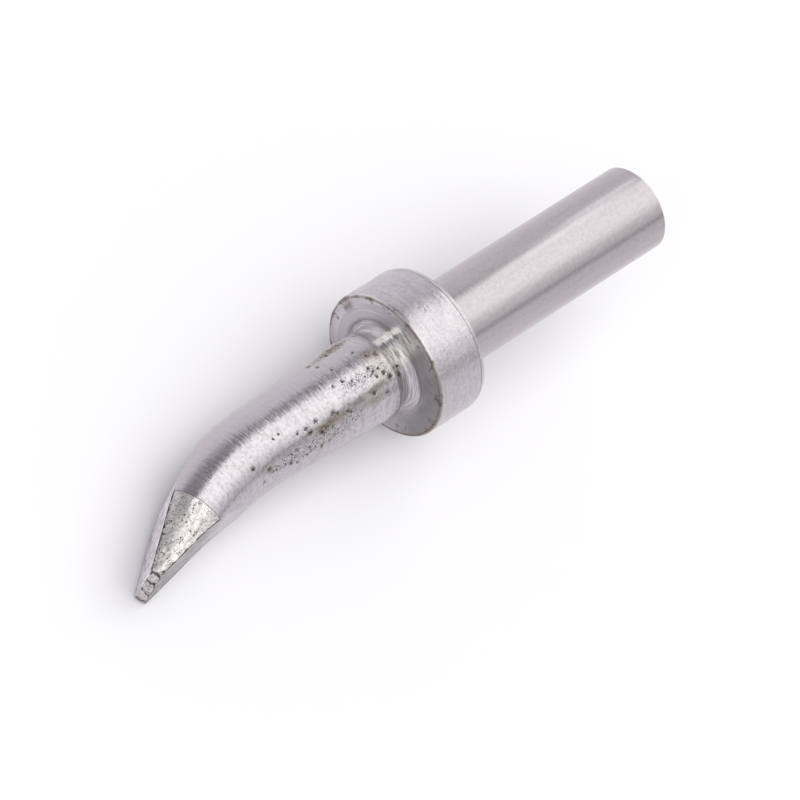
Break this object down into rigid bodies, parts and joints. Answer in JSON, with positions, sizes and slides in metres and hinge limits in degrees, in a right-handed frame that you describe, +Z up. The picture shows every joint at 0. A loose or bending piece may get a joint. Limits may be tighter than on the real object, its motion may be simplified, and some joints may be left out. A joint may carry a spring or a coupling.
{
  "type": "soldering iron tip",
  "caption": "Bent chisel soldering iron tip with a hollow shank, a collar with a turned neck, and two flats ground to a blunt working edge.",
  "frame": {"origin": "middle of the part's box, on the level surface that it lies on", "axes": "+Z up; the part lies on its side, the shank towards -X and the working end towards +X, with the nose bent towards +Y"},
  "size_m": [0.0638, 0.0136, 0.0154],
  "materials": {
    "plated_copper": "satin turned metal, pitted and stained in front of the collar, rough tinned flank at the working end"
  },
  "bodies": {
    "root": {"soldering_tip": "plated_copper"}
  },
  "joints": []
}
